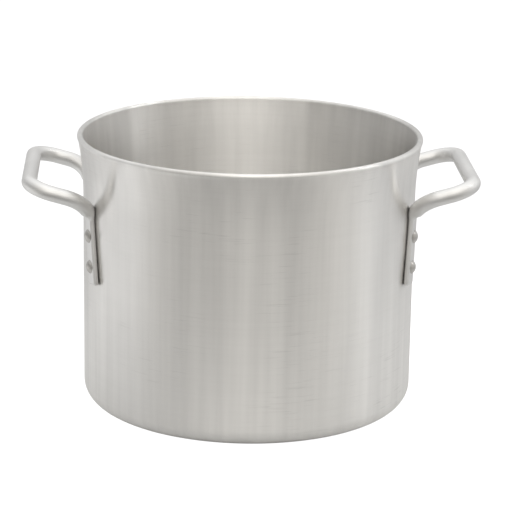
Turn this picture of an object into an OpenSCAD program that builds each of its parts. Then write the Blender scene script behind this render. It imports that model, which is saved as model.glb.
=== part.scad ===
// Heavy aluminium stock pot, about 24 US quarts: a spun pot with a thickened, flared rim and two loop
// handles. Each handle is one bent round bar with flattened ends, held on by four solid rivets.
// The origin is the centre of the base, +Z is up, and the handles lie on the +X and -X sides.

/* [Pot] */
// Height from the base to the top of the rim
pot_h = 273; // [240:1:330]
// Outside diameter of the straight wall
wall_d = 332; // [300:1:380]
// How far the rim stands out from the straight wall
rim_out = 6; // [5:0.1:8]
// Thickness of the straight wall
wall_t = 3.5; // [3:0.1:5]
// Thickness of the round bead on the rim
rim_t = 5.8; // [5.2:0.1:6.4]
// How far the bead stands out from the wall on each side
bead_step = 0.5; // [0.3:0.1:0.8]
// Thickness of the floor
floor_t = 5; // [4:0.1:8]
// Height over which the wall flares out to the rim
flare_h = 62; // [54:1:66]
// Outside radius between the wall and the base
base_r = 18; // [12:1:24]

/* [Handles] */
// Diameter of the round bar
bar_d = 15; // [13:0.5:15]
// Distance from the straight wall to the middle of the grip
grip_reach = 51.4; // [48:0.1:60]
// Depth of the grip's middle below the rim
grip_drop = 37; // [35:1:39]
// Distance between the two legs at the grip, centre to centre
leg_gap = 155; // [149:0.5:158]
// Upward tilt of the handle from the wall to the grip, in degrees
grip_tilt = 15.5; // [14:0.5:17]
// Bend radius at the ends of the grip
grip_bend = 25; // [20:1:28]
// Bend radius where a leg turns down to the wall
leg_bend = 26; // [24:1:30]

/* [Handle straps] */
// Distance between the two straps of a handle, centre to centre
strap_gap = 123.5; // [121:0.5:128]
// Outward lean of each strap towards its foot, in degrees
strap_lean = 8; // [6:0.5:9]
// Thickness of the flattened strap
strap_t = 5.8; // [5:0.1:6.5]
// Width of the strap at the top
strap_top_w = 14.5; // [14:0.5:16]
// Width of the strap at the foot
strap_foot_w = 17.5; // [16:0.5:19]
// Depth of the strap's top below the rim
strap_drop = 73; // [72:1:75]
// Depth of the strap's foot below the rim
foot_drop = 138; // [134:1:146]

/* [Rivets] */
// Diameter of the rivet shank
shank_d = 6.4; // [5:0.1:7]
// Diameter of the domed head
head_d = 13.5; // [11:0.5:14.5]
// Height of the domed head
head_h = 3.6; // [2.8:0.1:4]
// Diameter of the flat head formed inside the pot
tail_d = 11; // [9:0.5:13]
// Height of the head inside the pot
tail_h = 2; // [1.5:0.1:3]
// Depth of the upper rivet below the rim
upper_drop = 90; // [88:1:94]
// Distance between the two rivets of a strap
rivet_pitch = 30; // [26:1:32]

/* [Hidden] */
$fn = 180;
// Points along each quarter of the bar's section
corner_steps = 6;
// Rings along each bend of the bar, the shoulder above a strap and the round of its foot
bend_steps = 8;
shoulder_steps = 4;
foot_steps = 3;
// Sides of the two flare circles, which are hundreds of millimetres in radius
flare_sides = 720;

SIDES = ["left", "right"];
LEGS = ["front", "back"];
LEVELS = ["upper", "lower"];
RIVETS = [for (s = SIDES, l = LEGS, v = LEVELS) str("rivet_", s, "_", l, "_", v)];

wall_r = wall_d / 2;
bore_r = wall_r - wall_t;
flare_z = pot_h - flare_h;

// Both faces of the wall flare out on an arc, up into a round bead.
rim_r = rim_t / 2;
rim_x = wall_r + rim_out - rim_r;
rim_z = pot_h - rim_r;
flare_rise = rim_z - flare_z;
outer_step = rim_out - bead_step;
inner_step = rim_out + wall_t - rim_t + bead_step;
floor_r = base_r - wall_t;

// The strap is let 0.2 mm into the wall's line and trimmed back to the wall, so it seats on a band.
strap_seat = 0.2;
strap_edge_r = 2.6;
foot_round = 2.2;
strap_in = wall_r - strap_seat;
strap_angle = asin(strap_gap / 2 / wall_r);
strap_mid_z = pot_h - (strap_drop + foot_drop) / 2;
strap_out_dir = [cos(strap_angle), sin(strap_angle), 0];
strap_in_dir = [sin(strap_angle), -cos(strap_angle), 0];
strap_up_dir = cos(strap_lean) * [0, 0, 1] + sin(strap_lean) * strap_in_dir;
strap_mid = (strap_in + strap_t / 2) * strap_out_dir + [0, 0, strap_mid_z];
strap_half = (foot_drop - strap_drop) / 2 / cos(strap_lean);

// Bend points of one leg: the end of the round bar at the strap, the bend above it, the grip's corner.
// The bar's end stands off the wall, and the two legs draw together a little towards the wall.
bar_end_off = 8;
bar_end_drop = 62;
leg_bend_off = 2.5;
leg_taper = 0.5;
grip_z = pot_h - grip_drop;
bar_end = (wall_r + bar_end_off) * strap_out_dir + [0, 0, pot_h - bar_end_drop];
grip_x = wall_r + grip_reach;
leg_x = wall_r + leg_bend_off;
leg_point = [leg_x, leg_gap / 2 - leg_taper, grip_z - (grip_x - leg_x) * tan(grip_tilt)];
grip_point = [grip_x, leg_gap / 2, grip_z];
grip_middle = [grip_x, 0, grip_z];

hole_clearance = 0.1;
hole_d = shank_d + hole_clearance;
// How far a drilling cut runs past both faces
cut_past = 2;
head_ball_r = arc_radius(head_d / 2, head_h);

// Radius of an arc that runs straight for a length and steps sideways by its rise.
function arc_radius(length, rise) = (length * length + rise * rise) / (2 * rise);
function unit(v) = v / norm(v);
function flip_y(p) = [p[0], -p[1], p[2]];
function mix(a, b, f) = a + (b - a) * f;
function smooth(f) = f * f * (3 - 2 * f);

// One ring of the handle: a rounded rectangle that is a circle when r is half its width and thickness.
function ring(middle, run, out_hint, w, t, r) =
    let (across = unit(cross(out_hint, run)), out = cross(run, across), reach = r / cos(45 / corner_steps))
    [for (q = [0:3], k = [0:corner_steps - 1])
        let (
            a = 90 * q + 90 * (k + 0.5) / corner_steps,
            x = (q == 0 || q == 3 ? 1 : -1) * (w / 2 - r) + reach * cos(a),
            y = (q < 2 ? 1 : -1) * (t / 2 - r) + reach * sin(a)
        )
        middle + x * across + y * out];

function round_ring(middle, run) = ring(middle, run, [0, 0, -1], bar_d, bar_d, bar_d / 2);

// One ring of the strap, drawn in by the inset. Its corners are never rounder than half its thickness.
function strap_ring(up, w, inset) =
    let (t = strap_t - 2 * inset, r = min(strap_edge_r - inset / 2, t / 2))
    ring(strap_mid + up * strap_up_dir, strap_up_dir, strap_out_dir, w - 2 * inset, t, r);

// Rings round the bend at a corner point, between a point before it and a point after it.
function bend_rings(before, corner, after, radius) =
    let (
        u = unit(corner - before), v = unit(after - corner), turn = acos(u * v),
        inward = unit(v - (u * v) * u), start = corner - radius * tan(turn / 2) * u,
        centre = start + radius * inward
    )
    [for (k = [0:bend_steps])
        let (a = turn * k / bend_steps)
        round_ring(centre - radius * cos(a) * inward + radius * sin(a) * u, cos(a) * u + sin(a) * inward)];

// Rings of the rounded foot of a strap, up to its full section.
function foot_rings() =
    [for (k = [0:foot_steps])
        let (a = 90 * k / foot_steps)
        strap_ring(foot_round * (1 - cos(a)) - strap_half, strap_foot_w, foot_round * (1 - sin(a)))];

// Rings of the shoulder, where the flat strap swells into the round bar as it leaves the wall.
function shoulder_rings() =
    let (
        low = strap_mid + strap_half * strap_up_dir, run = unit(leg_point - bar_end),
        back = (bar_end_off + strap_seat - strap_t / 2) / norm([run[0], run[1]]), knee = bar_end - back * run
    )
    [for (k = [1:shoulder_steps - 1])
        let (f = k / shoulder_steps, g = smooth(f))
        ring(mix(mix(low, knee, f), mix(knee, bar_end, f), f), unit(mix(knee - low, bar_end - knee, f)),
            mix(strap_out_dir, [0, 0, -1], f),
            mix(strap_top_w, bar_d, g), mix(strap_t, bar_d, g), mix(strap_edge_r, bar_d / 2, g))];

// Rings of one leg, from the foot of its strap to the middle of the grip.
function leg_rings() = concat(
    foot_rings(),
    [strap_ring(strap_half, strap_top_w, 0)],
    shoulder_rings(),
    bend_rings(bar_end, leg_point, grip_point, leg_bend),
    bend_rings(leg_point, grip_point, grip_middle, grip_bend),
    [round_ring(grip_middle, [0, -1, 0])]);

// A closed skin through a list of rings that all have the same number of points.
module skin(rings) {
    n = len(rings[0]);
    last = len(rings) - 1;
    points = [for (r = rings, p = r) p];
    sides = [for (i = [0:last - 1], k = [0:n - 1])
        let (a = i * n + k, b = i * n + (k + 1) % n)
        each [[a, b + n, b], [a, a + n, b + n]]];
    ends = [[for (k = [0:n - 1]) k], [for (k = [n - 1:-1:0]) last * n + k]];
    polyhedron(points = points, faces = concat(sides, ends));
}

// Flat outline of the whole pot, filled: a straight wall, a rounded base corner and a flared rim.
module pot_outline(r, corner, step, bottom) {
    flare_r = arc_radius(flare_rise, step);
    difference() {
        translate([0, bottom]) square([r, flare_z - bottom]);
        translate([r - corner, bottom]) square([corner, corner]);
    }
    intersection() {
        translate([r - corner, bottom]) square([corner, corner]);
        translate([r - corner, bottom + corner]) circle(r = corner);
    }
    difference() {
        translate([0, flare_z]) square([r + step, flare_rise]);
        translate([r + flare_r, flare_z]) circle(r = flare_r, $fn = flare_sides);
    }
}

module pot_body() {
    color("#c4c3c0") difference() {
        rotate_extrude() {
            difference() {
                pot_outline(wall_r, base_r, outer_step, 0);
                pot_outline(bore_r, floor_r, inner_step, floor_t);
            }
            translate([rim_x, rim_z]) circle(r = rim_r);
        }
        for (s = SIDES, l = LEGS, v = LEVELS) at_rivet(s, l, v)
            translate([0, 0, -wall_t - cut_past]) cylinder(d = hole_d, h = wall_t + 2 * cut_past);
    }
}

// Mirrors a shape of the right back leg to the given side and leg.
module to_leg(side, leg) {
    mirror([side == "left" ? 1 : 0, 0, 0]) mirror([0, leg == "front" ? 1 : 0, 0]) children();
}

// Puts a shape on a rivet's axis: the origin on the strap's back, Z out from the wall.
module at_rivet(side, leg, level) {
    drop = upper_drop + (level == "lower" ? rivet_pitch : 0);
    up = (pot_h - drop - strap_mid_z) / cos(strap_lean);
    to_leg(side, leg) translate(strap_mid + up * strap_up_dir - strap_t / 2 * strap_out_dir)
        rotate([0, 0, strap_angle]) rotate([0, 90, 0]) children();
}

module handle(side) {
    leg = leg_rings();
    other_leg = [for (i = [len(leg) - 2:-1:0]) [for (p = leg[i]) flip_y(p)]];
    color("#cfcecb") difference() {
        mirror([side == "left" ? 1 : 0, 0, 0]) skin(concat(leg, other_leg));
        translate([0, 0, base_r]) cylinder(r = wall_r, h = flare_z - base_r);
        for (l = LEGS, v = LEVELS) at_rivet(side, l, v)
            translate([0, 0, -cut_past]) cylinder(d = hole_d, h = strap_t + 2 * cut_past);
    }
}

module left_handle() handle("left");

module right_handle() handle("right");

module rivet(side, leg, level) {
    color("#aeada9") {
        at_rivet(side, leg, level) {
            translate([0, 0, -wall_t]) cylinder(d = shank_d, h = wall_t + strap_t);
            translate([0, 0, strap_t]) rotate_extrude() intersection() {
                translate([0, head_h - head_ball_r]) circle(r = head_ball_r);
                square([head_d / 2, head_h]);
            }
        }
        intersection() {
            at_rivet(side, leg, level)
                translate([0, 0, -wall_t - tail_h + strap_seat]) cylinder(d = tail_d, h = wall_t);
            translate([0, 0, floor_t]) cylinder(r = bore_r, h = flare_z - floor_t);
        }
    }
}

pot_body();
left_handle();
right_handle();
for (s = SIDES, l = LEGS, v = LEVELS)
    rivet(s, l, v);
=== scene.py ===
import math
from collections import namedtuple

import bpy
import numpy as np
from mathutils import Matrix, Vector


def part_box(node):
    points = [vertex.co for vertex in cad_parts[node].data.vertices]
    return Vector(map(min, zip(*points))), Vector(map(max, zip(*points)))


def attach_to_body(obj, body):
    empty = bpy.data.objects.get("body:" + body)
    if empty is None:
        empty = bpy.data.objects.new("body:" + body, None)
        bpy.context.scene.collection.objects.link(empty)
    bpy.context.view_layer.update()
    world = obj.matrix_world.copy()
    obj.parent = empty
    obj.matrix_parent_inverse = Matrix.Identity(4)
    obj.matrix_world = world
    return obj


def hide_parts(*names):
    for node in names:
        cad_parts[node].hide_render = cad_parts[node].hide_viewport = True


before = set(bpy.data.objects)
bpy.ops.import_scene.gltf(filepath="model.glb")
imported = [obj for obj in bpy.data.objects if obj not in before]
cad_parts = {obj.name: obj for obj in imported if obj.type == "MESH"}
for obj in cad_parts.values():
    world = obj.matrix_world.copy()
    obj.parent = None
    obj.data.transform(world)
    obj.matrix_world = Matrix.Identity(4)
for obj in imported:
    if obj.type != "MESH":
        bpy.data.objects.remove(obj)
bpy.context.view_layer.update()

# A heavy aluminium stock pot: spun body, two bent-bar handles, eight solid rivets.
# Lengths are in metres and angles in degrees. The pot stands on z = 0, with its handles on +X and -X.

pot_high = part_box("pot_body")[1]
grip_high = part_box("right_handle")[1]

# Pot body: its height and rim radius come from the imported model.
POT_H = pot_high.z
RIM_R = pot_high.x
RIM_OUT = 0.006
WALL_T = 0.0035
BEAD_T = 0.0058
BEAD_STEP = 0.0005
FLOOR_T = 0.005
FLARE_H = 0.062
BASE_R = 0.018
WALL_R = RIM_R - RIM_OUT
BORE_R = WALL_R - WALL_T
BEAD_R = BEAD_T / 2
BEAD_X = RIM_R - BEAD_R
BEAD_Z = POT_H - BEAD_R
FLARE_Z = POT_H - FLARE_H
FLARE_RISE = BEAD_Z - FLARE_Z
# Inside, the bead runs straight down into the wall over this height. Outside, it starts this far round.
BEAD_FOOT = 0.005
BEAD_BLEND = 30

# Marks that the lathe leaves: a dish and a dimple in the underside, and a centre mark in the floor inside.
DISH_R = 0.122
DISH_H = 0.0004
DISH_EDGE = 0.003
DIMPLE_R = 0.0025
DIMPLE_H = 0.0005
MARK_R = 0.003
MARK_EDGE = 0.001
MARK_H = 0.0004
# A second loop of the mesh this close to an edge keeps its shading tight.
EDGE_LOOP = 0.0005

# Handles: a round bar with flattened ends.
BAR_D = 0.015
GRIP_X = grip_high.x - BAR_D / 2
GRIP_Z = POT_H - 0.037
LEG_GAP = 0.155
GRIP_TILT = 15.5
GRIP_BEND = 0.025
LEG_BEND = 0.026
LEG_BEND_OFF = 0.0025
LEG_TAPER = 0.0005
BAR_END_OFF = 0.008
BAR_END_DROP = 0.062

# Straps: the flattened ends of the bar, riveted to the wall.
STRAP_GAP = 0.1235
STRAP_LEAN = 8
STRAP_T = 0.0058
STRAP_TOP_W = 0.0145
STRAP_FOOT_W = 0.0175
STRAP_DROP = 0.073
FOOT_DROP = 0.138
STRAP_SEAT = 0.0002
STRAP_EDGE_R = 0.0026
FOOT_ROUND = 0.0022

# Rivets.
SHANK_D = 0.0064
HEAD_D = 0.0135
HEAD_H = 0.0036
HEAD_EDGE = 0.0004
TAIL_D = 0.011
TAIL_H = 0.002
TAIL_EDGE = 0.0007
TAIL_CROWN = 0.00005
# How far the inner head reaches into the wall, because the wall is curved, and the outer one into the strap.
TAIL_SINK = 0.0012
HEAD_SINK = 0.0002
UPPER_DROP = 0.090
RIVET_PITCH = 0.030

# Mesh detail.
LATHE_SIDES = 384
BAR_SIDES = 64
RIVET_SIDES = 72
# Edges sharper than this angle stay sharp.
CREASE = 35

ROOT = "root"


# ---------------------------------------------------------------- small maths

def unit(v):
    v = np.asarray(v, float)
    return v / np.linalg.norm(v)


def arc_radius(length, rise):
    """Radius of an arc that runs straight for a length and steps sideways by its rise."""
    return (length * length + rise * rise) / (2 * rise)


def smooth(f):
    return f * f * (3 - 2 * f)


def mix(a, b, f):
    return np.asarray(a, float) + (np.asarray(b, float) - np.asarray(a, float)) * f


def arc(cx, cz, r, start, end, steps):
    """Points on a flat arc, both ends included."""
    turns = np.radians(np.linspace(start, end, steps + 1))
    return [(cx + r * math.cos(t), cz + r * math.sin(t)) for t in turns]


def line(a, b, steps):
    """Points along a straight line, without its last point."""
    return [tuple(mix(a, b, k / steps)) for k in range(steps)]


# ---------------------------------------------------------------- mesh making

def make_piece(name, vertices, faces):
    """A smooth-shaded mesh object, with its sharp edges kept sharp."""
    mesh = bpy.data.meshes.new(name)
    mesh.from_pydata([tuple(v) for v in vertices], [], faces)
    mesh.update()
    for polygon in mesh.polygons:
        polygon.use_smooth = True
    mesh.set_sharp_from_angle(angle=math.radians(CREASE))
    mesh.validate()
    piece = bpy.data.objects.new(name, mesh)
    bpy.context.scene.collection.objects.link(piece)
    return piece


def lathe(name, profile, sides):
    """A closed solid of revolution about Z. Its profile runs anticlockwise, from the axis to the axis."""
    inner = profile[1:-1]
    count = len(inner)
    vertices = [(0, 0, profile[0][1])]
    for k in range(sides):
        a = 2 * math.pi * k / sides
        vertices += [(r * math.cos(a), r * math.sin(a), z) for r, z in inner]
    vertices.append((0, 0, profile[-1][1]))
    last = len(vertices) - 1
    faces = []
    for k in range(sides):
        here = 1 + k * count
        there = 1 + (k + 1) % sides * count
        faces.append((0, there, here))
        for i in range(count - 1):
            faces.append((here + i, there + i, there + i + 1, here + i + 1))
        faces.append((here + count - 1, there + count - 1, last))
    return make_piece(name, vertices, faces)


def skin(name, rings):
    """A closed skin through rings that all have the same number of points."""
    count = len(rings[0])
    vertices = [p for r in rings for p in r]
    faces = []
    for i in range(len(rings) - 1):
        for k in range(count):
            a = i * count + k
            b = i * count + (k + 1) % count
            faces.append((a, b, b + count, a + count))
    start = list(range(count))
    end = [(len(rings) - 1) * count + k for k in range(count)]
    faces.append(tuple(reversed(start)))
    faces.append(tuple(end))
    return make_piece(name, vertices, faces)


def attach(piece, nodes, material):
    """Rides the piece on the root body, in place of the CAD nodes, with its finish."""
    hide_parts(*nodes)
    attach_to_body(piece, ROOT)
    piece.data.materials.append(material)
    return piece


# ---------------------------------------------------------------- pot body

def flare(r, step, steps):
    """Outline of the flare from the straight wall at radius r, out by the step at bead height."""
    radius = arc_radius(FLARE_RISE, step)
    points = []
    for k in range(steps + 1):
        z = FLARE_RISE * k / steps
        points.append((r + radius - math.sqrt(radius * radius - z * z), FLARE_Z + z))
    return points


def on_bead(point):
    x, z = point
    return math.hypot(x - BEAD_X, z - BEAD_Z) < BEAD_R


def pot_profile():
    """Outline of the pot from the middle of the underside, round the rim, to the middle of the floor."""
    base = [(0, DISH_H + DIMPLE_H), (DIMPLE_R / 2, DISH_H + DIMPLE_H), (DIMPLE_R, DISH_H)]
    base += line((DIMPLE_R + EDGE_LOOP, DISH_H), (DISH_R, DISH_H), 12)
    base += [(DISH_R, DISH_H)]
    base += line((DISH_R + DISH_EDGE, 0), (WALL_R - BASE_R, 0), 4)
    corner = arc(WALL_R - BASE_R, BASE_R, BASE_R, -90, 0, 18)
    wall = line((WALL_R, BASE_R), (WALL_R, FLARE_Z), 14)[1:]
    outside = [p for p in flare(WALL_R, RIM_OUT - BEAD_STEP, 16) if not on_bead(p)]
    inner_step = RIM_OUT + WALL_T - BEAD_T + BEAD_STEP
    inside = [p for p in flare(BORE_R, inner_step, 16) if p[1] < BEAD_Z - BEAD_FOOT]
    meet_out = math.degrees(math.atan2(outside[-1][1] - BEAD_Z, outside[-1][0] - BEAD_X))
    bead = arc(BEAD_X, BEAD_Z, BEAD_R, meet_out + BEAD_BLEND, 180, 28)
    bore = line((BORE_R, FLARE_Z), (BORE_R, FLOOR_T + BASE_R - WALL_T), 14)[1:]
    floor_r = BASE_R - WALL_T
    fillet = arc(BORE_R - floor_r, FLOOR_T + floor_r, floor_r, 0, -90, 14)
    floor = line((BORE_R - floor_r, FLOOR_T), (MARK_R, FLOOR_T), 12)[1:]
    floor += [(MARK_R, FLOOR_T), (MARK_R - MARK_EDGE, FLOOR_T - MARK_H), (0, FLOOR_T - MARK_H)]
    return base + corner + wall + outside + bead + inside[::-1] + bore + fillet + floor


# ---------------------------------------------------------------- handles

STRAP_IN = WALL_R - STRAP_SEAT
STRAP_ANGLE = math.asin(STRAP_GAP / 2 / WALL_R)
STRAP_MID_Z = POT_H - (STRAP_DROP + FOOT_DROP) / 2
STRAP_OUT = np.array([math.cos(STRAP_ANGLE), math.sin(STRAP_ANGLE), 0])
STRAP_ACROSS = np.array([math.sin(STRAP_ANGLE), -math.cos(STRAP_ANGLE), 0])
LEAN = math.radians(STRAP_LEAN)
UP = np.array([0, 0, 1.0])
STRAP_UP = math.cos(LEAN) * UP + math.sin(LEAN) * STRAP_ACROSS
STRAP_MID = (STRAP_IN + STRAP_T / 2) * STRAP_OUT + STRAP_MID_Z * UP
STRAP_HALF = (FOOT_DROP - STRAP_DROP) / 2 / math.cos(LEAN)

LEG_X = WALL_R + LEG_BEND_OFF
BAR_END = (WALL_R + BAR_END_OFF) * STRAP_OUT + (POT_H - BAR_END_DROP) * UP
LEG_RISE = (GRIP_X - LEG_X) * math.tan(math.radians(GRIP_TILT))
LEG_POINT = np.array([LEG_X, LEG_GAP / 2 - LEG_TAPER, GRIP_Z - LEG_RISE])
GRIP_POINT = np.array([GRIP_X, LEG_GAP / 2, GRIP_Z])
GRIP_MIDDLE = np.array([GRIP_X, 0, GRIP_Z])


def bar_ring(middle, run, out_hint, w, t, r):
    """One ring of the handle: a rounded rectangle, or a circle when r is half its width and thickness."""
    across = unit(np.cross(out_hint, run))
    out = np.cross(run, across)
    corner = BAR_SIDES // 4
    points = []
    for q in range(4):
        side_x = 1 if q in (0, 3) else -1
        side_y = 1 if q < 2 else -1
        for k in range(corner):
            a = math.radians(90 * q + 90 * (k + 0.5) / corner)
            x = side_x * (w / 2 - r) + r * math.cos(a)
            y = side_y * (t / 2 - r) + r * math.sin(a)
            points.append(middle + x * across + y * out)
    return points


def round_ring(middle, run):
    return bar_ring(middle, unit(run), -UP, BAR_D, BAR_D, BAR_D / 2)


def strap_ring(up, w, inset=0.0):
    """One ring of the strap, drawn in by the inset. Its corners stay within half its thickness."""
    t = STRAP_T - 2 * inset
    r = min(STRAP_EDGE_R - inset / 2, t / 2)
    return bar_ring(STRAP_MID + up * STRAP_UP, STRAP_UP, STRAP_OUT, w - 2 * inset, t, r)


def bend_rings(before, corner, after, radius, steps):
    """Rings round the bend at a corner point, between a point before it and a point after it."""
    u = unit(corner - before)
    v = unit(after - corner)
    turn = math.acos(u @ v)
    inward = unit(v - (u @ v) * u)
    start = corner - radius * math.tan(turn / 2) * u
    centre = start + radius * inward
    rings = []
    for k in range(steps + 1):
        a = turn * k / steps
        middle = centre - radius * math.cos(a) * inward + radius * math.sin(a) * u
        rings.append(round_ring(middle, math.cos(a) * u + math.sin(a) * inward))
    return rings


def foot_rings(steps=6):
    """Rings of the rounded foot of a strap, up to its full section."""
    rings = []
    for k in range(steps + 1):
        a = math.radians(90 * k / steps)
        up = FOOT_ROUND * (1 - math.cos(a)) - STRAP_HALF
        rings.append(strap_ring(up, STRAP_FOOT_W, FOOT_ROUND * (1 - math.sin(a))))
    return rings


def strap_rings(steps=16):
    """Rings up the straight part of the strap, which narrows towards its top."""
    rings = []
    for k in range(1, steps + 1):
        f = k / steps
        up = mix(FOOT_ROUND - STRAP_HALF, STRAP_HALF, f)
        rings.append(strap_ring(up, mix(STRAP_FOOT_W, STRAP_TOP_W, f)))
    return rings


def shoulder_rings(steps=14):
    """Rings of the shoulder, where the flat strap swells into the round bar as it leaves the wall."""
    low = STRAP_MID + STRAP_HALF * STRAP_UP
    run = unit(LEG_POINT - BAR_END)
    back = (BAR_END_OFF + STRAP_SEAT - STRAP_T / 2) / np.linalg.norm(run[:2])
    knee = BAR_END - back * run
    rings = []
    for k in range(1, steps):
        f = k / steps
        g = smooth(f)
        middle = mix(mix(low, knee, f), mix(knee, BAR_END, f), f)
        rings.append(bar_ring(middle, unit(mix(knee - low, BAR_END - knee, f)), mix(STRAP_OUT, -UP, f),
                              mix(STRAP_TOP_W, BAR_D, g), mix(STRAP_T, BAR_D, g),
                              mix(STRAP_EDGE_R, BAR_D / 2, g)))
    return rings


def between(first, last, steps):
    """Rings evenly spaced between two rings, without the ends."""
    return [[mix(p, q, k / steps) for p, q in zip(first, last)] for k in range(1, steps)]


def leg_rings():
    """Rings of one leg, from the foot of its strap to the middle of the grip."""
    upper = bend_rings(BAR_END, LEG_POINT, GRIP_POINT, LEG_BEND, 20)
    outer = bend_rings(LEG_POINT, GRIP_POINT, GRIP_MIDDLE, GRIP_BEND, 24)
    middle = [round_ring(GRIP_MIDDLE, np.array([0, -1.0, 0]))]
    return (foot_rings() + strap_rings() + shoulder_rings() + upper
            + between(upper[-1], outer[0], 6) + outer + between(outer[-1], middle[0], 8) + middle)


def off_wall(point):
    """Seats a point of the strap's back on the outside of the pot wall."""
    r = math.hypot(point[0], point[1])
    if r >= WALL_R or point[2] > FLARE_Z:
        return point
    return np.array([point[0] * WALL_R / r, point[1] * WALL_R / r, point[2]])


def handle_rings(side):
    leg = leg_rings()
    flip_y = np.array([1, -1, 1])
    other = [[p * flip_y for p in ring] for ring in leg[-2::-1]]
    rings = [[off_wall(p) for p in ring] for ring in leg + other]
    if side == "right":
        return rings
    flip_x = np.array([-1, 1, 1])
    return [[p * flip_x for p in reversed(ring)] for ring in rings]


# ---------------------------------------------------------------- rivets

def rivet_profile():
    """Outline of a set rivet about its axis, from the inner head to the top of the dome."""
    ball = arc_radius(HEAD_D / 2, HEAD_H)
    dome_edge = math.degrees(math.acos((HEAD_D / 2 - HEAD_EDGE / 2) / ball))
    tail_low = -WALL_T - TAIL_H + STRAP_SEAT
    tail_top = -WALL_T + TAIL_SINK
    tail_r = TAIL_D / 2
    tail = [(0, tail_low), (tail_r * 0.35, tail_low), (tail_r * 0.7, tail_low + TAIL_CROWN)]
    tail += arc(tail_r - TAIL_EDGE, tail_low + TAIL_EDGE, TAIL_EDGE, -90, 0, 6)
    tail += [(tail_r, tail_top - TAIL_SINK / 2), (tail_r, tail_top)]
    head_low = STRAP_T - HEAD_SINK
    shank = [(SHANK_D / 2, tail_top), (SHANK_D / 2, head_low)]
    under = [(HEAD_D / 2 - HEAD_EDGE, head_low), (HEAD_D / 2, STRAP_T + HEAD_SINK / 2)]
    dome = arc(0, STRAP_T + HEAD_H - ball, ball, dome_edge, 90, 18)
    return tail + shank + under + dome


def rivet_place(side, leg, level):
    """The rivet's axis: origin on the strap's back, local Z out from the wall."""
    drop = UPPER_DROP + (RIVET_PITCH if level == "lower" else 0)
    up = (POT_H - drop - STRAP_MID_Z) / math.cos(LEAN)
    origin = STRAP_MID + up * STRAP_UP - STRAP_T / 2 * STRAP_OUT
    flip = np.array([-1 if side == "left" else 1, -1 if leg == "front" else 1, 1])
    out = Vector(STRAP_OUT * flip)
    up_axis = Vector((0, 0, 1))
    turn = Matrix((up_axis.cross(out), up_axis, out)).transposed().to_4x4()
    return Matrix.Translation(Vector(origin * flip)) @ turn


# ---------------------------------------------------------------- materials

# Most of a noise texture lies between these values.
NOISE_USED = (0.3, 0.7)


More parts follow.
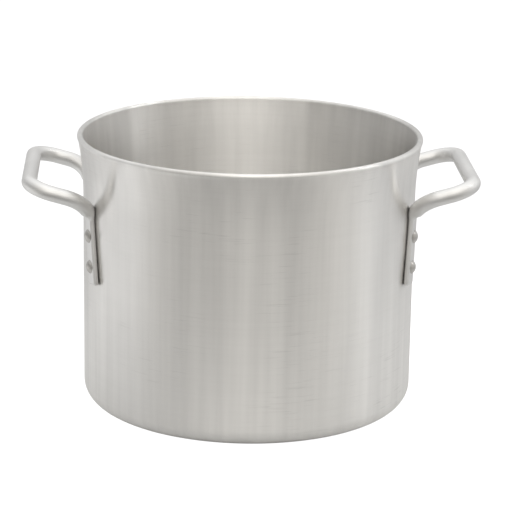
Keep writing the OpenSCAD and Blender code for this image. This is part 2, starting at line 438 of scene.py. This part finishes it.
class Nodes:
    """Short calls for building the node tree of a material or a world."""

    def __init__(self, owner):
        owner.use_nodes = True
        self.owner = owner
        self.tree = owner.node_tree
        self.tree.nodes.clear()

    def add(self, kind, **settings):
        node = self.tree.nodes.new(kind)
        for key, value in settings.items():
            setattr(node, key, value)
        return node

    def link(self, source, target):
        self.tree.links.new(source, target)

    def put(self, socket, value):
        """Links a socket to the input, or sets the input to a plain value."""
        if isinstance(value, bpy.types.NodeSocket):
            self.link(value, socket)
        else:
            socket.default_value = value

    def maths(self, operation, a, b=0.0, c=0.0):
        node = self.add("ShaderNodeMath", operation=operation)
        for socket, value in zip(node.inputs, (a, b, c)):
            self.put(socket, value)
        return node.outputs[0]

    def noise(self, vector, scale, detail=3.0, rough=0.5):
        node = self.add("ShaderNodeTexNoise")
        self.link(vector, node.inputs["Vector"])
        node.inputs["Scale"].default_value = scale
        node.inputs["Detail"].default_value = detail
        node.inputs["Roughness"].default_value = rough
        return node.outputs["Fac"]

    def span(self, value, low, high, to_low, to_high):
        """Maps a value from one range to another, and holds it at the ends."""
        node = self.add("ShaderNodeMapRange")
        for socket, number in zip(node.inputs[:5], (value, low, high, to_low, to_high)):
            self.put(socket, number)
        return node.outputs[0]

    def spread(self, noise, to_low, to_high):
        """Maps the part of a noise that is in use to a range."""
        return self.span(noise, *NOISE_USED, to_low, to_high)

    def ease(self, value, low, high):
        """Rises smoothly from 0 to 1 between two values."""
        node = self.add("ShaderNodeMapRange", interpolation_type="SMOOTHSTEP")
        for socket, number in zip(node.inputs[:5], (value, low, high, 0.0, 1.0)):
            self.put(socket, number)
        return node.outputs[0]

    def mix_values(self, factor, a, b):
        """Goes from value a to value b as the factor goes from 0 to 1."""
        node = self.add("ShaderNodeMix", data_type="FLOAT")
        for socket, number in zip((node.inputs[0], node.inputs[2], node.inputs[3]), (factor, a, b)):
            self.put(socket, number)
        return node.outputs[0]

    def times(self, a, b):
        """Multiplies two colours."""
        node = self.add("ShaderNodeMix", data_type="RGBA", blend_type="MULTIPLY")
        node.inputs[0].default_value = 1.0
        for socket, colour in ((node.inputs[6], a), (node.inputs[7], b)):
            self.put(socket, (*colour, 1) if isinstance(colour, tuple) else colour)
        return node.outputs[2]

    def blend(self, factor, a, b):
        """Mixes two colours."""
        node = self.add("ShaderNodeMix", data_type="RGBA")
        self.put(node.inputs[0], factor)
        for socket, colour in ((node.inputs[6], a), (node.inputs[7], b)):
            self.put(socket, (*colour, 1) if isinstance(colour, tuple) else colour)
        return node.outputs[2]

    def vector(self, x, y, z):
        node = self.add("ShaderNodeCombineXYZ")
        for socket, value in zip(node.inputs, (x, y, z)):
            self.put(socket, value)
        return node.outputs[0]

    def grey(self, value):
        return self.vector(value, value, value)

    def stretched(self, x, y, along, round_scale, along_scale):
        """A place in a noise that is scaled one way round the axis and another way along the surface."""
        across = (self.maths("MULTIPLY", x, round_scale), self.maths("MULTIPLY", y, round_scale))
        return self.vector(*across, self.maths("MULTIPLY", along, along_scale))

    def radius(self, x, y):
        """Distance from the axis."""
        squares = self.maths("ADD", self.maths("MULTIPLY", x, x), self.maths("MULTIPLY", y, y))
        return self.maths("SQRT", squares)

    def place(self):
        """Position on the object."""
        return self.add("ShaderNodeTexCoord").outputs["Object"]

    def split(self, vector):
        """The x, y and z of a vector."""
        parts = self.add("ShaderNodeSeparateXYZ")
        self.link(vector, parts.inputs[0])
        return parts.outputs[0], parts.outputs[1], parts.outputs[2]

    def bump(self, height, strength, distance):
        node = self.add("ShaderNodeBump")
        node.inputs["Strength"].default_value = strength
        node.inputs["Distance"].default_value = distance
        self.link(height, node.inputs["Height"])
        return node.outputs[0]

    def metal(self, colour, roughness, normal, anisotropic=0.0, turn=0.0, tangent=None):
        shader = self.add("ShaderNodeBsdfPrincipled")
        shader.inputs["Metallic"].default_value = 1.0
        shader.inputs["Anisotropic"].default_value = anisotropic
        shader.inputs["Anisotropic Rotation"].default_value = turn
        self.put(shader.inputs["Base Color"], colour)
        self.put(shader.inputs["Roughness"], roughness)
        self.link(normal, shader.inputs["Normal"])
        if tangent is not None:
            self.link(tangent, shader.inputs["Tangent"])
        output = self.add("ShaderNodeOutputMaterial")
        self.link(shader.outputs[0], output.inputs[0])
        return self.owner


# Spun aluminium. A pattern has two scales: round the axis, and along the surface.
SPUN_DARK = (0.885, 0.873, 0.852)
SPUN_LIGHT = (0.912, 0.901, 0.880)
SPUN_BLOTCH = (0.896, 0.887, 0.870)
FINE_LINES = (14, 1600)
TURNED_LINES = (4, 330)
TURNED_BANDS = (1.5, 45)
# Painted reflection: upright light and dark bands in the colour stand in for the streaked reflections that
# tool chatter makes on the wall.
UPRIGHT_BANDS = (85, 3)
SHORT_MARKS = (34, 760)
BLOTCH_SCALE = 9
SPUN_ROUGHNESS = (0.31, 0.36)
BLOTCH_ROUGHNESS = (-0.015, 0.02)
PAINTED_STREAK_SHADE = (0.945, 1.045)
# Short turned marks dim the metal by up to this share, where the blotches are strongest.
MARK_DEPTH = 0.09
# The inside is a little rougher than the outside.
INSIDE_ROUGHER = 1.06
# How the middle of the wall's thickness curves out above the flare line, in metres per square metre.
FLARE_CURVE = (2 * RIM_OUT + WALL_T - BEAD_T) / 2 / FLARE_RISE ** 2

# Handle aluminium. A strap is darkened by painted shade close to the wall, in the crevice where it meets the
# pot, and unshaded from this far out.
HANDLE_DARK = (0.76, 0.757, 0.75)
HANDLE_LIGHT = (0.81, 0.807, 0.80)
HANDLE_ROUGHNESS = (0.40, 0.48)
GRAIN_ROUGHNESS = (-0.02, 0.02)
CREVICE_SHADE_REACH = (0.0008, 0.0024)
CREVICE_SHADE = 0.6

# Rivet aluminium.
RIVET_DARK = (0.50, 0.488, 0.468)
RIVET_LIGHT = (0.58, 0.569, 0.549)
RIVET_ROUGHNESS = (0.30, 0.40)


def spun_aluminium():
    """Satin spun aluminium: fine turned lines, faint upright light and dark bands painted into the colour as
    the reflection streaks of tool chatter, and a few short marks.
    """
    n = Nodes(bpy.data.materials.new("spun_aluminium"))
    position = n.place()
    x, y, z = n.split(position)
    r = n.radius(x, y)
    run = n.maths("ADD", z, r)
    fine = n.noise(n.stretched(x, y, run, *FINE_LINES), 1.0, 4.0, 0.6)
    lines = n.noise(n.stretched(x, y, run, *TURNED_LINES), 1.0, 3.0, 0.6)
    bands = n.noise(n.stretched(x, y, run, *TURNED_BANDS), 1.0, 2.0, 0.5)
    upright = n.noise(n.stretched(x, y, z, *UPRIGHT_BANDS), 1.0, 3.0, 0.55)
    marks = n.noise(n.stretched(x, y, run, *SHORT_MARKS), 1.0, 2.0, 0.5)
    blotch = n.noise(position, BLOTCH_SCALE, 3.0, 0.55)
    tone = n.maths("ADD", n.maths("MULTIPLY", lines, 0.7), n.maths("MULTIPLY", bands, 0.3))
    colour = n.blend(n.spread(tone, 0.0, 1.0), SPUN_DARK, SPUN_LIGHT)
    colour = n.blend(n.span(blotch, 0.35, 0.7, 0.0, 0.25), colour, SPUN_BLOTCH)
    worn = n.maths("MULTIPLY", n.ease(marks, 0.60, 0.70), n.span(blotch, 0.45, 0.65, 0.0, MARK_DEPTH))
    # Painted reflection streaks: the upright bands lighten and darken the colour, and the short turned marks
    # dim it as real wear.
    painted_streaks_and_wear = n.maths("SUBTRACT", n.spread(upright, *PAINTED_STREAK_SHADE), worn)
    colour = n.times(colour, n.grey(painted_streaks_and_wear))
    grain = n.maths("ADD", n.maths("MULTIPLY", fine, 0.5), n.maths("MULTIPLY", lines, 0.5))
    base = n.maths("ADD", n.spread(grain, *SPUN_ROUGHNESS), n.spread(blotch, *BLOTCH_ROUGHNESS))
    flared = n.maths("MAXIMUM", n.maths("SUBTRACT", z, FLARE_Z), 0)
    middle = n.maths("MULTIPLY_ADD", n.maths("MULTIPLY", flared, flared), FLARE_CURVE, WALL_R - WALL_T / 2)
    inside = n.maths("LESS_THAN", r, middle)
    roughness = n.maths("MULTIPLY", base, n.mix_values(inside, 1.0, INSIDE_ROUGHER))
    height = n.maths("ADD", n.maths("MULTIPLY", fine, 0.6), n.maths("MULTIPLY", lines, 0.4))
    normal = n.bump(height, 0.06, 0.0002)
    tangent = n.add("ShaderNodeTangent", direction_type="RADIAL", axis="Z").outputs[0]
    return n.metal(colour, roughness, normal, anisotropic=1.0, turn=0.25, tangent=tangent)


def handle_aluminium():
    """Tumbled aluminium: an even satin with a soft ripple and a fine grain, with painted shade where it
    meets the wall.
    """
    n = Nodes(bpy.data.materials.new("handle_aluminium"))
    position = n.place()
    grain = n.noise(position, 1800.0, 2.0, 0.5)
    ripple = n.noise(position, 45.0, 2.0, 0.5)
    patches = n.noise(position, 22.0, 3.0, 0.6)
    colour = n.blend(n.spread(patches, 0.0, 1.0), HANDLE_DARK, HANDLE_LIGHT)
    x, y, _ = n.split(position)
    off_wall_face = n.maths("SUBTRACT", n.radius(x, y), WALL_R)
    # Painted shade: the colour darkens where the strap nears the wall, in the crevice between strap and pot.
    painted_crevice_shade = n.mix_values(n.ease(off_wall_face, *CREVICE_SHADE_REACH), CREVICE_SHADE, 1.0)
    colour = n.times(colour, n.grey(painted_crevice_shade))
    roughness = n.maths("ADD", n.spread(patches, *HANDLE_ROUGHNESS), n.spread(grain, *GRAIN_ROUGHNESS))
    height = n.maths("ADD", n.maths("MULTIPLY", grain, 0.03), ripple)
    normal = n.bump(height, 0.22, 0.0008)
    return n.metal(colour, roughness, normal)


def rivet_aluminium():
    """Headed aluminium: a duller, darker satin with a fine grain and soft patches."""
    n = Nodes(bpy.data.materials.new("rivet_aluminium"))
    position = n.place()
    grain = n.noise(position, 1400.0, 3.0, 0.6)
    patches = n.noise(position, 160.0, 2.0, 0.5)
    colour = n.blend(n.spread(patches, 0.0, 1.0), RIVET_DARK, RIVET_LIGHT)
    roughness = n.span(n.maths("ADD", grain, patches), 0.7, 1.3, *RIVET_ROUGHNESS)
    normal = n.bump(grain, 0.15, 0.0002)
    return n.metal(colour, roughness, normal)


# ---------------------------------------------------------------- the object

def build_pot(material):
    piece = lathe("pot_shell", pot_profile(), LATHE_SIDES)
    attach(piece, ["pot_body"], material)


def build_handles(material):
    for side in ("left", "right"):
        piece = skin(f"loop_{side}", handle_rings(side))
        attach(piece, [f"{side}_handle"], material)


def build_rivets(material):
    profile = rivet_profile()
    for side in ("left", "right"):
        for leg in ("front", "back"):
            for level in ("upper", "lower"):
                place = f"{side}_{leg}_{level}"
                piece = lathe(f"set_rivet_{place}", profile, RIVET_SIDES)
                piece.data.transform(rivet_place(side, leg, level))
                attach(piece, [f"rivet_{place}"], material)


# ---------------------------------------------------------------- stage, light and camera

FLOOR_RADIUS = 0.45
# The floor lies a hair below the base, so that the two faces never share a plane.
FLOOR_GAP = 0.0002
# The white floor is lit from below, and dark where the pot covers it, between these two radii.
UNDER_POT = (0.155, 0.164)
FLOOR_PAINT = (0.36, 0.36, 0.355)
FLOOR_GLOW = 0.22
# How much brighter the floor gets to each side, and towards the left, per metre.
SIDE_GLOW = 0.4
LEFT_GLOW = 0.1
# The studio is a tent of plain fabric in three tiers, with panels hung in front of it.
# A panel runs between two compass angles, counted from the front and anticlockwise seen from above.
# Its edges fade over an angle, and its level is how bright it is.
Panel = namedtuple("Panel", "start end fade level")
LOW_TENT = 0.6
LEFT_SHEET = Panel(-136, -76, 30, 0.95)
DARK_FRONT = Panel(-48, 44, 40, 0.24)
EYE_TENT = 0.65
DIM_LEFT = Panel(-116, -46, 20, 0.42)
DARK_GAP = Panel(-53, -46, 8, 0.25)
RIGHT_SHEET = Panel(76, 142, 26, 0.91)
HIGH_TENT = 1.1
HIGH_LEFT = Panel(-125, -27, 12, 0.8)
FRONT_WINDOW = Panel(-20, 24, 10, 1.75)
DIM_RIGHT = Panel(60, 76, 8, 0.9)
RIGHT_STRIP = Panel(94, 98, 2, 8)
BLACK_STRIP = Panel(101, 110, 3, 0.1)
OVERHEAD = 1.18
# The tiers blend into each other between these heights, in degrees above the horizon.
LOW_TO_EYE = (-6, 2)
EYE_TO_HIGH = (24, 34)
HIGH_TO_OVERHEAD = (54, 66)
# The fabric warms towards the front, between these two cosines of the compass angle.
WARM = (1.0, 0.975, 0.93)
NEUTRAL = (1.0, 0.996, 0.988)
WARM_REACH = (-0.2, 0.7)
TOP_BOX_PLACE = (0.1, -0.3, 2.2)
TOP_BOX_SIZE = (1.4, 1.2)
TOP_BOX_POWER = 2
# What the camera sees of the floor and the tent is plain white.
SEEN_FLOOR = 1.05
SEEN_TENT = (1.1, 1.1, 1.1)


def build_floor():
    """A pale round floor. The camera sees it a little brighter than the pot does, as a lit white sweep."""
    sides = 96
    turns = [2 * math.pi * k / sides for k in range(sides)]
    ring = [(FLOOR_RADIUS * math.cos(t), FLOOR_RADIUS * math.sin(t), -FLOOR_GAP) for t in turns]
    floor = make_piece("floor", ring, [tuple(range(sides))])
    n = Nodes(bpy.data.materials.new("pale_floor"))
    paint = n.add("ShaderNodeBsdfDiffuse")
    paint.inputs["Color"].default_value = (*FLOOR_PAINT, 1)
    glow = n.add("ShaderNodeEmission")
    x, y, _ = n.split(n.place())
    r = n.radius(x, y)
    sides = n.maths("MULTIPLY_ADD", n.maths("ABSOLUTE", x), SIDE_GLOW, FLOOR_GLOW)
    lit = n.maths("MULTIPLY", n.ease(r, *UNDER_POT), n.maths("MULTIPLY_ADD", x, -LEFT_GLOW, sides))
    seen = n.add("ShaderNodeLightPath").outputs["Is Camera Ray"]
    n.link(n.mix_values(seen, lit, SEEN_FLOOR), glow.inputs["Strength"])
    both = n.add("ShaderNodeAddShader")
    n.link(paint.outputs[0], both.inputs[0])
    n.link(glow.outputs[0], both.inputs[1])
    output = n.add("ShaderNodeOutputMaterial")
    n.link(both.outputs[0], output.inputs[0])
    floor.data.materials.append(n.owner)


def tier(n, compass, tent, panels):
    """Brightness round the compass of one tier of the tent, with its panels."""
    level = tent
    for panel in panels:
        # The angle from the panel's middle, wrapped so that it is the same both ways round.
        middle = (panel.start + panel.end) / 2
        half = (panel.end - panel.start) / 2
        turned = n.maths("FLOORED_MODULO", n.maths("ADD", compass, 540 - middle), 360)
        away = n.maths("ABSOLUTE", n.maths("SUBTRACT", turned, 180))
        outside = n.ease(away, half - panel.fade / 2, half + panel.fade / 2)
        level = n.mix_values(outside, panel.level, level)
    return level


def build_surroundings():
    """A soft studio tent of pale panels, seen as plain white by the camera."""
    world = bpy.data.worlds.new("studio")
    bpy.context.scene.world = world
    n = Nodes(world)
    x, y, z = n.split(n.add("ShaderNodeTexCoord").outputs["Generated"])
    degrees = 180 / math.pi
    compass = n.maths("MULTIPLY", n.maths("ARCTAN2", x, n.maths("MULTIPLY", y, -1)), degrees)
    height = n.maths("MULTIPLY", n.maths("ARCSINE", z), degrees)
    low = tier(n, compass, LOW_TENT, [LEFT_SHEET, DARK_FRONT])
    eye = tier(n, compass, EYE_TENT, [DIM_LEFT, DARK_GAP, RIGHT_SHEET])
    high = tier(n, compass, HIGH_TENT, [HIGH_LEFT, FRONT_WINDOW, DIM_RIGHT, BLACK_STRIP, RIGHT_STRIP])
    level = n.mix_values(n.ease(height, *LOW_TO_EYE), low, eye)
    level = n.mix_values(n.ease(height, *EYE_TO_HIGH), level, high)
    level = n.mix_values(n.ease(height, *HIGH_TO_OVERHEAD), level, OVERHEAD)
    towards_front = n.maths("COSINE", n.maths("DIVIDE", compass, degrees))
    tint = n.blend(n.ease(towards_front, *WARM_REACH), NEUTRAL, WARM)
    colour = n.times(tint, n.grey(level))
    seen = n.add("ShaderNodeLightPath").outputs["Is Camera Ray"]
    colour = n.blend(seen, colour, SEEN_TENT)
    background = n.add("ShaderNodeBackground")
    n.link(colour, background.inputs[0])
    output = n.add("ShaderNodeOutputWorld")
    n.link(background.outputs[0], output.inputs[0])


def build_lights():
    """One large soft box above the front of the pot."""
    light = bpy.data.lights.new("top_box", "AREA")
    light.shape = "RECTANGLE"
    light.size, light.size_y = TOP_BOX_SIZE
    light.energy = TOP_BOX_POWER
    lamp = bpy.data.objects.new("top_box", light)
    lamp.location = TOP_BOX_PLACE
    down = Vector((0, 0, POT_H / 2)) - Vector(TOP_BOX_PLACE)
    lamp.rotation_euler = down.to_track_quat("-Z", "Y").to_euler()
    bpy.context.scene.collection.objects.link(lamp)


# The camera looks at the middle of the pot. Turn, rise and roll are in degrees, and the lens in millimetres.
CAMERA_TURN = -2.8
CAMERA_RISE = 16.38
CAMERA_ROLL = 0.85
CAMERA_AWAY = 2.4
CAMERA_LENS = 166.8
CAMERA_SHIFT = (0.0152, 0.0158)


def build_camera():
    a = math.radians(CAMERA_TURN)
    e = math.radians(CAMERA_RISE)
    back = Vector((math.sin(a) * math.cos(e), -math.cos(a) * math.cos(e), math.sin(e)))
    data = bpy.data.cameras.new("photo_camera")
    data.lens = CAMERA_LENS
    data.shift_x, data.shift_y = CAMERA_SHIFT
    data.clip_start, data.clip_end = 0.05, 50
    camera = bpy.data.objects.new("photo_camera", data)
    camera.rotation_mode = "QUATERNION"
    roll = Matrix.Rotation(math.radians(CAMERA_ROLL), 3, "Z").to_quaternion()
    camera.rotation_quaternion = (-back).to_track_quat("-Z", "Y") @ roll
    camera.location = Vector((0, 0, POT_H / 2)) + back * CAMERA_AWAY
    bpy.context.scene.collection.objects.link(camera)
    bpy.context.scene.camera = camera


bpy.context.scene.view_settings.view_transform = "Standard"
build_camera()
build_floor()
build_surroundings()
build_lights()
build_pot(spun_aluminium())
build_handles(handle_aluminium())
build_rivets(rivet_aluminium())
